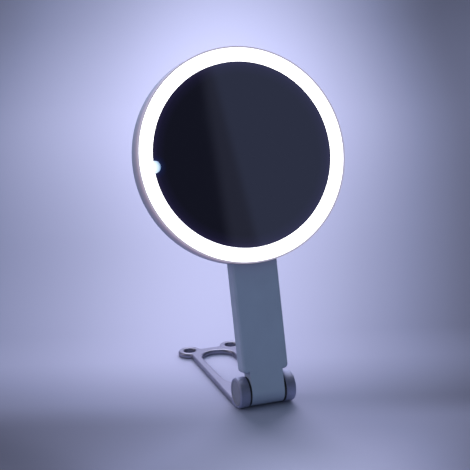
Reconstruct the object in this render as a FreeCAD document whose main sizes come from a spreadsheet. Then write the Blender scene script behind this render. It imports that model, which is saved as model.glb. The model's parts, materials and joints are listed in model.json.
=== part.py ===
# Lighted travel makeup mirror: a round mirror in a lit ring, on a flat handle that folds on to a metal stand.
# Millimetres and degrees, Z up, front towards -Y. The origin is on the table, under the footprint's middle.
import FreeCAD, Part
import math
import os
import types
import Sketcher

# Driving dimensions, one sheet cell each.
DRIVING = {
    # Head: outline and layers, front to back
    "head_radius": 76.0,
    "head_depth": 16.5,
    "rim_wall": 1.0,
    "frame_wall": 2.0,
    "ring_width": 9.65,
    "glass_thickness": 2.2,
    "lamp_space": 1.8,
    "tray_floor": 1.2,
    "rib_half_width": 1.8,
    "shell_wall": 1.8,
    "back_round": 1.6,
    "shell_inner_round": 0.5,
    "seat_gap": 0.1,
    # Light ring and touch key
    "led_board_gap": 0.6,
    "led_board_width": 4.8,
    "led_board_thickness": 0.6,
    "led_count": 48,
    "led_length": 3.5,
    "led_width": 2.8,
    "led_height": 0.7,
    "touch_radius": 4.0,
    "touch_inset": 0.85,
    "touch_drop": 1.8,
    "touch_hole_radius": 3.2,
    "touch_contact_radius": 2.4,
    "touch_board_radius": 5.8,
    # Boards, battery and switch in the head
    "board_lift": 1.2,
    "board_thickness": 1.2,
    "board_rim_gap": 5.0,
    "board_length": 38.0,
    "board_height": 30.0,
    "board_screw_inset": 4.0,
    "board_post_radius": 2.2,
    "small_screw_radius": 0.8,
    "small_head_radius": 1.6,
    "small_head_height": 0.9,
    "usb_width": 8.94,
    "usb_height": 3.2,
    "usb_length": 7.3,
    "usb_wall": 0.35,
    "usb_setback": 0.8,
    "usb_tongue": 0.7,
    "button_offset": 4.0,
    "button_radius": 5.0,
    "button_proud": 0.6,
    "button_gap": 0.15,
    "button_flange": 1.2,
    "button_flange_thickness": 0.9,
    "button_slack": 0.3,
    "stem_radius": 1.5,
    "stem_length": 2.7,
    "switch_side": 6.0,
    "switch_height": 2.2,
    "plunger_radius": 1.6,
    "plunger_room": 1.4,
    "plunger_reach": 0.8,
    "pipe_radius": 1.2,
    "pipe_offset": 9.0,
    "pipe_up": 8.0,
    "pipe_lift": 0.8,
    "battery_pillar_gap": 8.3,
    "battery_board_gap": 19.0,
    "battery_height": 36.0,
    "battery_thickness": 5.0,
    "battery_up": 22.0,
    "battery_pad_thickness": 0.8,
    "lead_radius": 0.6,
    "lead_hole_radius": 1.5,
    "lead_hole_angle": -19.0,
    "lead_bend": 3.0,
    # Shell screws
    "pillar_inset": 14.0,
    "pillar_radius": 3.4,
    "pillar_seat": 8.5,
    "shell_screw_radius": 1.0,
    "shell_head_radius": 2.0,
    "shell_head_height": 1.2,
    "thread_depth": 3.4,
    # Tilt hinge between head and handle
    "head_lean": 19.1,
    "tilt_drop": 47.3,
    "tilt_barrel_radius": 5.5,
    "tilt_pin_radius": 2.0,
    "tilt_bush_radius": 3.2,
    "tilt_bush_length": 10.0,
    "tilt_washer_radius": 3.4,
    "channel_gap": 0.6,
    "channel_floor_gap": 0.8,
    "channel_end_gap": 0.5,
    "cheek_wall": 2.0,
    "cheek_boss_length": 5.0,
    "cheek_boss_radius": 2.9,
    "pin_end_gap": 0.4,
    # Handle
    "handle_lean": 13.7,
    "handle_reach": 118.0,
    "handle_width": 33.6,
    "handle_thickness": 13.4,
    "handle_round": 2.2,
    "handle_wall": 2.0,
    "neck_length": 25.0,
    "shoulder_height": 13.6,
    "shoulder_round": 3.2,
    "cover_thickness": 1.8,
    "cover_low": 16.0,
    "cover_top_inset": 27.0,
    "cover_half_width": 14.2,
    "cover_ledge": 1.6,
    "cover_corner": 2.0,
    "cover_boss_radius": 2.8,
    "cover_boss_across": 8.5,
    "cover_boss_inset": 8.0,
    # Stand hinge
    "barrel_radius": 10.4,
    "tongue_width": 24.2,
    "tongue_room": 0.5,
    "washer_gap": 1.5,
    "knuckle_width": 7.3,
    "knuckle_chamfer": 0.9,
    "cap_radius": 9.2,
    "cap_thickness": 1.3,
    "shaft_radius": 3.0,
    "shaft_head_radius": 5.2,
    "shaft_head_thickness": 2.4,
    "hinge_pocket_radius": 6.0,
    "hinge_pocket_depth": 3.2,
    "spring_thickness": 0.5,
    "nut_thickness": 1.8,
    "bush_radius": 4.6,
    "bush_length": 9.0,
    "running_gap": 0.05,
    # Stand frame
    "stand_thickness": 3.5,
    "stand_round": 1.7,
    "slot_half_width": 12.5,
    "slot_near": 49.5,
    "slot_eye_gap": 20.0,
    "bridge_width": 8.0,
    "arm_tip_half_width": 18.0,
    "eye_across": 16.6,
    "eye_reach": 114.5,
    "eye_radius": 8.6,
    "eye_hole_radius": 4.2,
    "eye_blend": 2.0,
    "foot_proud": 0.5,
    "foot_recess": 0.8,
    "foot_rim": 0.8,
    "front_foot_near": 11.0,
    "front_foot_depth": 9.0,
    "front_foot_half_width": 15.0,
}

# Round the head the shell screws stand at these angles from three o'clock, clear of the handle at six.
PILLAR_ANGLES = (30, 90, 150, 210, 330)

doc = FreeCAD.newDocument("travel_mirror")
sheet = doc.addObject("Spreadsheet::Sheet", "sizes")
for row, (alias, value) in enumerate(DRIVING.items(), start=1):
    sheet.set(f"A{row}", alias)
    sheet.set(f"B{row}", str(value))
    sheet.setAlias(f"B{row}", alias)
doc.recompute()


class Size:
    """A size with its number and the expression that works it out from the sheet."""

    def __init__(self, number, text):
        self.number = number
        self.text = text

    def __add__(self, other):
        other = as_size(other)
        return Size(self.number + other.number, f"({self.text} + {other.text})")

    def __sub__(self, other):
        other = as_size(other)
        return Size(self.number - other.number, f"({self.text} - {other.text})")

    def __rsub__(self, other):
        return as_size(other) - self

    def __mul__(self, other):
        other = as_size(other)
        return Size(self.number * other.number, f"({self.text} * {other.text})")

    __radd__ = __add__
    __rmul__ = __mul__

    def __truediv__(self, other):
        other = as_size(other)
        return Size(self.number / other.number, f"({self.text} / {other.text})")

    def __neg__(self):
        return Size(-self.number, f"(-{self.text})")


def as_size(value):
    return value if isinstance(value, Size) else Size(value, f"({value})")


def sine(angle):
    angle = as_size(angle)
    return Size(math.sin(math.radians(angle.number)), f"sin({angle.text})")


def cosine(angle):
    angle = as_size(angle)
    return Size(math.cos(math.radians(angle.number)), f"cos({angle.text})")


def square_root(area):
    return Size(math.sqrt(area.number), f"sqrt({area.text})")


size = types.SimpleNamespace(**{alias: Size(value, f"sizes.{alias}") for alias, value in DRIVING.items()})


def bind(thing, prop, value):
    thing.setExpression(prop, as_size(value).text)


# Sketches lie on a body's own origin planes: "top" draws x, y, "front" draws x, z and "side" draws y, z.
# A level is measured along +Z, +Y or +X; the front plane's own normal points the other way.
PLANES = {"top": ("XY_Plane", 1), "front": ("XZ_Plane", -1), "side": ("YZ_Plane", 1)}


def make_sketch(body, name, plane, level, loops):
    role, sense = PLANES[plane]
    drawing = body.newObject("Sketcher::SketchObject", name)
    support = next(feature for feature in body.Origin.OriginFeatures if feature.Role == role)
    drawing.AttachmentSupport = [(support, "")]
    drawing.MapMode = "FlatFace"
    bind(drawing, "AttachmentOffset.Base.z", sense * as_size(level))
    for loop in loops:
        loop(drawing)
    return drawing


def hold(drawing, constraint, value):
    """Add a dimension to a sketch and tie it to the sheet."""
    row = drawing.addConstraint(constraint)
    name = f"size_{row}"
    drawing.renameConstraint(row, name)
    bind(drawing, f"Constraints.{name}", value)


def hold_point(drawing, geometry, point, x, y):
    hold(drawing, Sketcher.Constraint("DistanceX", -1, 1, geometry, point, x.number), x)
    hold(drawing, Sketcher.Constraint("DistanceY", -1, 1, geometry, point, y.number), y)


def polygon(*corners):
    corners = [(as_size(x), as_size(y)) for x, y in corners]

    def draw(drawing):
        first = drawing.GeometryCount
        points = [FreeCAD.Vector(x.number, y.number, 0) for x, y in corners]
        for start, end in zip(points, points[1:] + points[:1]):
            drawing.addGeometry(Part.LineSegment(start, end), False)
        for index, (x, y) in enumerate(corners):
            following = first + (index + 1) % len(corners)
            drawing.addConstraint(Sketcher.Constraint("Coincident", first + index, 2, following, 1))
            hold_point(drawing, first + index, 1, x, y)
    return draw


def rectangle(left, right, low, high):
    return polygon((left, low), (right, low), (right, high), (left, high))


def circle(x, y, radius):
    x, y, radius = as_size(x), as_size(y), as_size(radius)

    def draw(drawing):
        shape = Part.Circle(FreeCAD.Vector(x.number, y.number, 0), FreeCAD.Vector(0, 0, 1), radius.number)
        geometry = drawing.addGeometry(shape, False)
        hold_point(drawing, geometry, 3, x, y)
        hold(drawing, Sketcher.Constraint("Radius", geometry, radius.number), radius)
    return draw


def slot(x, half_width, low, high):
    """A round-ended slot along the sketch's second axis, between two arc centres."""
    x, half_width, low, high = as_size(x), as_size(half_width), as_size(low), as_size(high)

    def draw(drawing):
        normal = FreeCAD.Vector(0, 0, 1)
        ends = []
        for centre, start_angle, side in ((low, math.pi, -1), (high, 0, 1)):
            middle = FreeCAD.Vector(x.number, centre.number, 0)
            round_end = Part.Circle(middle, normal, half_width.number)
            half_circle = Part.ArcOfCircle(round_end, start_angle, start_angle + math.pi)
            arc = drawing.addGeometry(half_circle, False)
            hold_point(drawing, arc, 3, x, centre)
            hold_point(drawing, arc, 1, x + side * half_width, centre)
            hold(drawing, Sketcher.Constraint("DistanceY", -1, 1, arc, 2, centre.number), centre)
            ends.append((arc, centre, side))
        for (arc, centre, side), (other, other_centre, _) in (ends, ends[::-1]):
            start = FreeCAD.Vector(x.number - side * half_width.number, centre.number, 0)
            end = FreeCAD.Vector(x.number - side * half_width.number, other_centre.number, 0)
            line = drawing.addGeometry(Part.LineSegment(start, end), False)
            drawing.addConstraint(Sketcher.Constraint("Coincident", arc, 2, line, 1))
            drawing.addConstraint(Sketcher.Constraint("Coincident", line, 2, other, 1))
    return draw


def new_body(name):
    return doc.addObject("PartDesign::Body", name + "_body")


def pad(body, name, plane, start, end, *loops):
    """Add material between two levels, inside the loops."""
    drawing = make_sketch(body, name + "_sketch", plane, start, loops)
    feature = body.newObject("PartDesign::Pad", name)
    feature.Profile = drawing
    feature.Reversed = PLANES[plane][1] < 0
    bind(feature, "Length", end - start)
    doc.recompute()
    return feature


def pocket(body, name, plane, start, end, *loops):
    """Take material away between two levels, inside the loops."""
    before = body.Shape.Volume
    drawing = make_sketch(body, name + "_sketch", plane, start, loops)
    feature = body.newObject("PartDesign::Pocket", name)
    feature.Profile = drawing
    feature.Reversed = PLANES[plane][1] > 0
    bind(feature, "Length", end - start)
    doc.recompute()
    if not body.Shape.Volume < before:
        raise RuntimeError(f"{name} cuts nothing")
    return feature


def turn(body, name, axis, *corners):
    """Revolve an outline: radius and depth about the Y axis, or place and radius about the X axis."""
    drawing = make_sketch(body, name + "_sketch", "top", as_size(0), [polygon(*corners)])
    feature = body.newObject("PartDesign::Revolution", name)
    feature.Profile = drawing
    feature.ReferenceAxis = (drawing, [{"Y": "V_Axis", "X": "H_Axis"}[axis]])
    feature.Angle = 360
    doc.recompute()
    return feature


def round_edges(body, name, radius, chosen):
    base = body.Tip
    edges = [f"Edge{number}" for number, edge in enumerate(base.Shape.Edges, start=1) if chosen(edge)]
    feature = body.newObject("PartDesign::Fillet", name)
    feature.Base = (base, edges)
    bind(feature, "Radius", radius)
    doc.recompute()
    return feature


def near(value, wanted):
    return abs(value - as_size(wanted).number) < 1e-4


def in_order(first, second):
    return sorted((first, second), key=lambda place: place.number)


LAID_ALONG_X = FreeCAD.Rotation(FreeCAD.Vector(0, 1, 0), 90)


def rod(name, radius, start, end, y=0, z=0):
    """A cylinder along X between two places."""
    start, end, y, z = as_size(start), as_size(end), as_size(y), as_size(z)
    thing = doc.addObject("Part::Cylinder", name)
    thing.Placement = FreeCAD.Placement(FreeCAD.Vector(0, 0, 0), LAID_ALONG_X)
    bind(thing, "Radius", radius)
    bind(thing, "Height", end - start)
    bind(thing, "Placement.Base.x", start)
    bind(thing, "Placement.Base.y", y)
    bind(thing, "Placement.Base.z", z)
    return thing


def sleeve(name, outer, inner, start, end, y=0, z=0):
    """A rod with a bore, for bushes and washers."""
    thing = doc.addObject("Part::Cut", name)
    thing.Base = rod(name + "_outside", outer, start, end, y, z)
    thing.Tool = rod(name + "_bore", inner, start, end, y, z)
    return thing


def together(name, pieces):
    thing = doc.addObject("Part::Compound", name + "_set")
    thing.Links = pieces
    return thing


# Places worked out from the driving dimensions
hinge_inner = size.tongue_width / 2 + size.washer_gap
hinge_outer = hinge_inner + size.knuckle_width
knuckle_radius = size.barrel_radius + size.tongue_room
hinge_height = size.foot_proud + knuckle_radius
hinge_y = -(size.eye_reach + size.eye_radius - knuckle_radius) / 2
glass_radius = size.head_radius - size.rim_wall - size.ring_width
front_depth = size.glass_thickness + size.lamp_space + size.tray_floor
floor_front = front_depth - size.tray_floor
back_inside = size.head_depth - size.shell_wall
board_front = front_depth + size.board_lift
board_back = board_front + size.board_thickness
handle_back = size.handle_thickness - size.barrel_radius
handle_side = size.handle_width / 2
neck_start = size.handle_reach - size.neck_length
tilt_y = handle_back - size.tilt_barrel_radius
tilt_depth = front_depth + size.channel_floor_gap + size.tilt_barrel_radius
tilt_world_y = hinge_y + tilt_y * cosine(size.handle_lean) + size.handle_reach * sine(size.handle_lean)
tilt_world_z = hinge_height - tilt_y * sine(size.handle_lean) + size.handle_reach * cosine(size.handle_lean)
head_y = tilt_world_y - tilt_depth * cosine(size.head_lean) + size.tilt_drop * sine(size.head_lean)
head_z = tilt_world_z + tilt_depth * sine(size.head_lean) + size.tilt_drop * cosine(size.head_lean)

# Each group is drawn upright in its own frame and then leant back: the stand and handle about the hinge axis,
# the head about the middle of its front face.
FRAMES = {
    "stand": (hinge_y, hinge_height, None),
    "handle": (hinge_y, hinge_height, size.handle_lean),
    "head": (head_y, head_z, size.head_lean),
}
sub_parts = []


def keep(thing, label, group):
    """Name a finished sub-part and set it in its group's frame."""
    y, z, lean = FRAMES[group]
    if lean is not None:
        tilted = FreeCAD.Rotation(FreeCAD.Vector(1, 0, 0), -lean.number)
        thing.Placement = FreeCAD.Placement(FreeCAD.Vector(0, 0, 0), tilted)
        bind(thing, "Placement.Rotation.Angle", -lean)
    bind(thing, "Placement.Base.y", y)
    bind(thing, "Placement.Base.z", z)
    thing.Label = label
    sub_parts.append(thing)


def both_sides(x):
    return (-x, x)


# Stand frame: a flat slotted plate with an eye at each far corner
plate_low = -knuckle_radius
plate_top = size.stand_thickness - knuckle_radius
plate_near = square_root((2 * knuckle_radius - size.stand_thickness) * size.stand_thickness)
slot_far = size.eye_reach - size.slot_eye_gap
bridge_far = slot_far + size.slot_half_width + size.bridge_width
eye_holes = [circle(x, size.eye_reach, size.eye_hole_radius) for x in both_sides(size.eye_across)]

body = new_body("stand_frame")
pad(body, "stand_plate", "top", plate_low, plate_top, polygon(
    (-hinge_outer, plate_near), (hinge_outer, plate_near),
    (size.arm_tip_half_width, bridge_far), (-size.arm_tip_half_width, bridge_far)))
for side, x in zip(("left", "right"), both_sides(size.eye_across)):
    pad(body, side + "_eye", "top", plate_low, plate_top, circle(x, size.eye_reach, size.eye_radius))
pocket(body, "stand_slot", "top", plate_low, plate_top,
       slot(0, size.slot_half_width, size.slot_near, slot_far))
pocket(body, "eye_holes", "top", plate_low, plate_top, *eye_holes)
round_edges(body, "eye_blends", size.eye_blend, lambda edge: edge.Curve.TypeId == "Part::GeomLine"
            and near(edge.BoundBox.ZLength, size.stand_thickness)
            and edge.BoundBox.YMin > slot_far.number)
round_edges(body, "stand_top_edges", size.stand_round, lambda edge: near(edge.BoundBox.ZMin, plate_top)
            and not near(edge.BoundBox.YMax, plate_near))
foot_top = plate_low + size.foot_recess
foot_outer = size.eye_radius - size.foot_rim
foot_inner = size.eye_hole_radius + size.foot_rim
front_foot = (-size.front_foot_half_width, size.front_foot_half_width,
              size.front_foot_near, size.front_foot_near + size.front_foot_depth)
pocket(body, "front_foot_recess", "top", plate_low, foot_top, rectangle(*front_foot))
for side, x in zip(("left", "right"), both_sides(size.eye_across)):
    pocket(body, side + "_foot_recess", "top", plate_low, foot_top,
           circle(x, size.eye_reach, foot_outer), circle(x, size.eye_reach, foot_inner))
keep(body, "stand_frame", "stand")

# Hinge knuckles: turned barrels brazed to the plate's front by a foot as thick as the plate
cap_seat = hinge_outer - size.cap_thickness
pocket_floor = cap_seat - size.hinge_pocket_depth
for side, sense in (("left", -1), ("right", 1)):
    body = new_body(side + "_knuckle")
    turn(body, side + "_barrel", "X",
         (sense * hinge_inner, 0), (sense * hinge_inner, knuckle_radius),
         (sense * (hinge_outer - size.knuckle_chamfer), knuckle_radius),
         (sense * hinge_outer, knuckle_radius - size.knuckle_chamfer), (sense * hinge_outer, 0))
    pad(body, side + "_knuckle_foot", "side", *in_order(sense * hinge_inner, sense * hinge_outer),
        rectangle(0, plate_near, plate_low, plate_top))
    pocket(body, side + "_cap_seat", "side", *in_order(sense * cap_seat, sense * hinge_outer),
           circle(0, 0, size.cap_radius + size.seat_gap))
    pocket(body, side + "_hinge_pocket", "side", *in_order(sense * pocket_floor, sense * cap_seat),
           circle(0, 0, size.hinge_pocket_radius))
    pocket(body, side + "_shaft_bore", "side", *in_order(sense * hinge_inner, sense * pocket_floor),
           circle(0, 0, size.shaft_radius + size.running_gap))
    keep(body, side + "_knuckle", "stand")

# Feet: thin silicone pads stuck in recesses under the plate and the eyes
foot_bottom = plate_low - size.foot_proud
body = new_body("front_foot_pad")
left, right, back, front = front_foot
pad(body, "front_foot", "top", foot_bottom, foot_top, rectangle(
    left + size.seat_gap, right - size.seat_gap, back + size.seat_gap, front - size.seat_gap))
keep(body, "front_foot_pad", "stand")

body = new_body("rear_foot_pads")
for side, x in zip(("left", "right"), both_sides(size.eye_across)):
    pad(body, side + "_rear_foot", "top", foot_bottom, foot_top,
        circle(x, size.eye_reach, foot_outer - size.seat_gap),
        circle(x, size.eye_reach, foot_inner + size.seat_gap))
keep(body, "rear_foot_pads", "stand")

# Hinge caps: spun discs pressed into the knuckles' ends
cap_bevel = size.knuckle_chamfer / 3
for side, sense in (("left", -1), ("right", 1)):
    body = new_body(side + "_end_cap")
    turn(body, side + "_cap_disc", "X",
         (sense * cap_seat, 0), (sense * cap_seat, size.cap_radius),
         (sense * (hinge_outer - cap_bevel), size.cap_radius),
         (sense * hinge_outer, size.cap_radius - cap_bevel), (sense * hinge_outer, 0))
    keep(body, side + "_end_cap", "stand")

# Hinge shaft: a headed steel pin from the left knuckle, drawn up by a nut on disc springs in the right one
spring_end = pocket_floor + 2 * size.spring_thickness
nut_end = spring_end + size.nut_thickness
body = new_body("hinge_shaft")
turn(body, "shaft", "X",
     (-(pocket_floor + size.shaft_head_thickness), 0),
     (-(pocket_floor + size.shaft_head_thickness), size.shaft_head_radius),
     (-pocket_floor, size.shaft_head_radius), (-pocket_floor, size.shaft_radius),
     (nut_end, size.shaft_radius), (nut_end, 0))
keep(body, "hinge_shaft", "stand")

spring_bore = size.shaft_radius + size.seat_gap
springs = [sleeve(f"disc_spring_{layer}", size.shaft_head_radius, spring_bore,
                  pocket_floor + layer * size.spring_thickness,
                  pocket_floor + (layer + 1) * size.spring_thickness) for layer in range(2)]
keep(together("disc_springs", springs), "disc_springs", "stand")

nut_outside = doc.addObject("Part::Prism", "nut_hexagon")
nut_outside.Polygon = 6
nut_outside.Placement = FreeCAD.Placement(FreeCAD.Vector(0, 0, 0), LAID_ALONG_X)
bind(nut_outside, "Circumradius", size.shaft_head_radius)
bind(nut_outside, "Height", size.nut_thickness)
bind(nut_outside, "Placement.Base.x", spring_end)
nut = doc.addObject("Part::Cut", "nut")
nut.Base = nut_outside
nut.Tool = rod("nut_thread", size.shaft_radius + size.running_gap, spring_end, nut_end)
keep(nut, "shaft_nut", "stand")

# Handle: a moulded tub, open at the back, with the stand hinge's barrel at its foot and a tilt barrel on top
tongue_end = size.tongue_width / 2
body = new_body("handle_body")
pad(body, "handle_blade", "side", -handle_side, handle_side, polygon(
    (-size.barrel_radius, 0), (-size.barrel_radius, neck_start),
    (tilt_y - size.tilt_barrel_radius, size.handle_reach),
    (handle_back, size.handle_reach), (handle_back, 0)))
pad(body, "tilt_barrel", "side", -handle_side, handle_side,
    circle(tilt_y, size.handle_reach, size.tilt_barrel_radius))
for side, start, end in (("left", -handle_side, -tongue_end), ("right", tongue_end, handle_side)):
    pocket(body, side + "_shoulder", "side", start, end, rectangle(
        -size.barrel_radius, handle_back, 0, size.shoulder_height))
round_edges(body, "shoulder_corners", size.shoulder_round, lambda edge: near(edge.BoundBox.XLength, 0)
            and near(abs(edge.BoundBox.XMin), handle_side) and near(edge.BoundBox.ZMax, size.shoulder_height))
round_edges(body, "handle_edges", size.handle_round, lambda edge: near(edge.BoundBox.XLength, 0)
            and near(abs(edge.BoundBox.XMin), handle_side))
pad(body, "hinge_barrel", "side", -tongue_end, tongue_end, circle(0, 0, size.barrel_radius))
cover_high = size.handle_reach - size.cover_top_inset
cover_seat = handle_back - size.cover_thickness
tub_floor = size.handle_wall - size.barrel_radius
cover_outline = (-size.cover_half_width, size.cover_half_width, size.cover_low, cover_high)
tub_outline = (size.cover_ledge - size.cover_half_width, size.cover_half_width - size.cover_ledge,
               size.cover_low + size.cover_ledge, cover_high - size.cover_ledge)
cover_posts = [(x, z) for x in both_sides(size.cover_boss_across)
               for z in (size.cover_low + size.cover_boss_inset, cover_high - size.cover_boss_inset)]
pocket(body, "cover_rebate", "front", cover_seat, handle_back, rectangle(*cover_outline))
pocket(body, "handle_hollow", "front", tub_floor, cover_seat, rectangle(*tub_outline))
pad(body, "cover_bosses", "front", tub_floor, cover_seat,
    *[circle(x, z, size.cover_boss_radius) for x, z in cover_posts])
screw_tip = cover_seat - size.thread_depth
pocket(body, "cover_pilots", "front", screw_tip - size.seat_gap, cover_seat,
       *[circle(x, z, size.shell_screw_radius + size.running_gap) for x, z in cover_posts])
pocket(body, "bush_bore", "side", -tongue_end, tongue_end,
       circle(0, 0, size.bush_radius + size.running_gap))
pocket(body, "tilt_bore", "side", -handle_side, handle_side,
       circle(tilt_y, size.handle_reach, size.tilt_bush_radius + size.running_gap))
keep(body, "handle_body", "handle")

# Handle cover: a flat plate let into the tub's back, held by four sunk screws
head_seat = handle_back - size.shell_head_height
body = new_body("handle_back_cover")
left, right, low, high = cover_outline
pad(body, "cover_plate", "front", cover_seat, handle_back, rectangle(
    left + size.seat_gap, right - size.seat_gap, low + size.seat_gap, high - size.seat_gap))
pocket(body, "cover_holes", "front", cover_seat, handle_back,
       *[circle(x, z, size.shell_screw_radius + size.seat_gap) for x, z in cover_posts])
pocket(body, "cover_counterbores", "front", head_seat, handle_back,
       *[circle(x, z, size.shell_head_radius + size.seat_gap) for x, z in cover_posts])
round_edges(body, "cover_corners", size.cover_corner, lambda edge: edge.Curve.TypeId == "Part::GeomLine"
            and near(edge.BoundBox.YLength, size.cover_thickness))
keep(body, "handle_back_cover", "handle")

body = new_body("handle_cover_screws")
pad(body, "cover_screw_shanks", "front", screw_tip, head_seat,
    *[circle(x, z, size.shell_screw_radius) for x, z in cover_posts])
pad(body, "cover_screw_heads", "front", head_seat, handle_back,
    *[circle(x, z, size.shell_head_radius) for x, z in cover_posts])
keep(body, "handle_cover_screws", "handle")

# Hinge bushes run on the shaft inside the barrel; black friction washers fill the seams beside the knuckles
shaft_bore = size.shaft_radius + size.running_gap
for side, sense in (("left", -1), ("right", 1)):
    ends = in_order(sense * tongue_end, sense * (tongue_end - size.bush_length))
    keep(sleeve("lower_bush_" + side + "_ring", size.bush_radius, shaft_bore, *ends),
         "lower_bush_" + side, "handle")
    ends = in_order(sense * (tongue_end + size.running_gap), sense * (hinge_inner - size.running_gap))
    keep(sleeve(side + "_washer_ring", size.barrel_radius, shaft_bore, *ends),
         side + "_friction_washer", "handle")

# Tilt bushes line the upper barrel for the head's pin
tilt_pin_bore = size.tilt_pin_radius + size.running_gap
for side, sense in (("left", -1), ("right", 1)):
    ends = in_order(sense * handle_side, sense * (handle_side - size.tilt_bush_length))
    keep(sleeve("tilt_bush_" + side + "_ring", size.tilt_bush_radius, tilt_pin_bore,
                *ends, y=tilt_y, z=size.handle_reach), "tilt_bush_" + side, "handle")

# Front frame: a shallow tray that holds the glass, the lit ring and, on its back, the boards
pillar_circle = size.head_radius - size.pillar_inset
pillars = [(pillar_circle * cosine(angle), pillar_circle * sine(angle)) for angle in PILLAR_ANGLES]
board_half_length = size.board_length / 2
board_half_height = size.board_height / 2
board_centre = size.head_radius - size.board_rim_gap - board_half_length
board_screws = [(board_centre + across, up)
                for across in both_sides(board_half_length - size.board_screw_inset)
                for up in both_sides(board_half_height - size.board_screw_inset)]
touch_across = size.touch_inset - glass_radius
touch_place = (touch_across, -size.touch_drop)
frame_inside = size.head_radius - size.frame_wall
rib_inner = glass_radius - size.rib_half_width
rib_outer = glass_radius + size.rib_half_width
led_board_outer = frame_inside - size.led_board_gap
led_board_inner = led_board_outer - size.led_board_width
led_middle = led_board_outer - size.led_board_width / 2
lead_hole = (led_middle * cosine(size.lead_hole_angle), led_middle * sine(size.lead_hole_angle))
body = new_body("front_frame")
turn(body, "tray", "Y",
     (size.head_radius, 0), (size.head_radius, front_depth), (0, front_depth), (0, floor_front),
     (frame_inside, floor_front), (frame_inside, size.glass_thickness),
     (size.head_radius - size.rim_wall, size.glass_thickness), (size.head_radius - size.rim_wall, 0))
turn(body, "glass_rib", "Y",
     (rib_inner, size.glass_thickness), (rib_outer, size.glass_thickness),
     (rib_outer, front_depth), (rib_inner, front_depth))
pad(body, "touch_boss", "front", front_depth, board_front, circle(*touch_place, size.touch_board_radius))
pocket(body, "touch_hole", "front", size.glass_thickness, board_front,
       circle(*touch_place, size.touch_hole_radius))
pad(body, "screw_pillars", "front", front_depth, size.pillar_seat,
    *[circle(x, z, size.pillar_radius) for x, z in pillars])
pocket(body, "screw_pilots", "front", size.pillar_seat - size.thread_depth - size.seat_gap, size.pillar_seat,
       *[circle(x, z, size.shell_screw_radius + size.running_gap) for x, z in pillars])
pad(body, "board_posts", "front", front_depth, board_front,
    *[circle(x, z, size.board_post_radius) for x, z in board_screws])
pocket(body, "board_pilots", "front", floor_front + size.tray_floor / 2, board_front,
       *[circle(x, z, size.small_screw_radius + size.running_gap) for x, z in board_screws])
pocket(body, "lead_hole", "front", floor_front, front_depth, circle(*lead_hole, size.lead_hole_radius))
keep(body, "front_frame", "head")

# Mirror: a silvered glass disc with a round bite for the touch key, on a foam sheet
touch_bite = circle(*touch_place, size.touch_radius + size.seat_gap)
body = new_body("mirror_glass")
turn(body, "glass_disc", "Y", (0, 0), (glass_radius, 0), (glass_radius, size.glass_thickness),
     (0, size.glass_thickness))
pocket(body, "glass_bite", "front", as_size(0), size.glass_thickness, touch_bite)
keep(body, "mirror_glass", "head")

foam_radius = rib_inner - size.touch_hole_radius
body = new_body("mirror_adhesive")
turn(body, "foam_disc", "Y", (0, size.glass_thickness), (foam_radius, size.glass_thickness),
     (foam_radius, floor_front), (0, floor_front))
keep(body, "mirror_adhesive", "head")

# Lit ring: an opal diffuser flush with the glass, over a ring board of small lamps
diffuser_inner = glass_radius + size.seat_gap
diffuser_outer = size.head_radius - size.rim_wall - size.seat_gap
body = new_body("light_diffuser")
turn(body, "diffuser_ring", "Y", (diffuser_inner, 0), (diffuser_outer, 0),
     (diffuser_outer, size.glass_thickness), (diffuser_inner, size.glass_thickness))
pocket(body, "diffuser_bite", "front", as_size(0), size.glass_thickness, touch_bite)
keep(body, "light_diffuser", "head")

led_board_front = floor_front - size.led_board_thickness
body = new_body("led_board")
turn(body, "led_ring", "Y", (led_board_inner, led_board_front), (led_board_outer, led_board_front),
     (led_board_outer, floor_front), (led_board_inner, floor_front))
keep(body, "led_board", "head")

body = new_body("led_chips")
first_chip = pad(body, "first_chip", "front", led_board_front - size.led_height, led_board_front, rectangle(
    led_middle - size.led_width / 2, led_middle + size.led_width / 2,
    -size.led_length / 2, size.led_length / 2))
chip_ring = body.newObject("PartDesign::PolarPattern", "chip_ring")
chip_ring.Originals = [first_chip]
chip_ring.Axis = (first_chip.Profile[0], ["N_Axis"])
chip_ring.Angle = 360
bind(chip_ring, "Occurrences", size.led_count)
body.Tip = chip_ring
doc.recompute()
keep(body, "led_chips", "head")

# Touch key: an opal lens on the mirror's edge, with a contact pad behind it down to its own small board
body = new_body("touch_key")
pad(body, "touch_lens", "front", as_size(0), size.glass_thickness, circle(*touch_place, size.touch_radius))
keep(body, "touch_key", "head")

body = new_body("touch_contact")
pad(body, "contact_post", "front", size.glass_thickness, board_front,
    circle(*touch_place, size.touch_contact_radius))
keep(body, "touch_contact", "head")

body = new_body("touch_board")
pad(body, "touch_disc", "front", board_front, board_back, circle(*touch_place, size.touch_board_radius))
keep(body, "touch_board", "head")

# Control board on its posts, with the charging socket, the push switch and the charge lamp's light pipe
board_left = board_centre - board_half_length
board_right = board_centre + board_half_length
body = new_body("control_board")
pad(body, "board_plate", "front", board_front, board_back,
    rectangle(board_left, board_right, -board_half_height, board_half_height))
pocket(body, "board_holes", "front", board_front, board_back,
       *[circle(x, z, size.small_screw_radius + size.seat_gap) for x, z in board_screws])
keep(body, "control_board", "head")

body = new_body("control_board_screws")
pad(body, "board_screw_shanks", "front", board_front - size.board_lift / 2, board_back,
    *[circle(x, z, size.small_screw_radius) for x, z in board_screws])
pad(body, "board_screw_heads", "front", board_back, board_back + size.small_head_height,
    *[circle(x, z, size.small_head_radius) for x, z in board_screws])
keep(body, "control_board_screws", "head")

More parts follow.
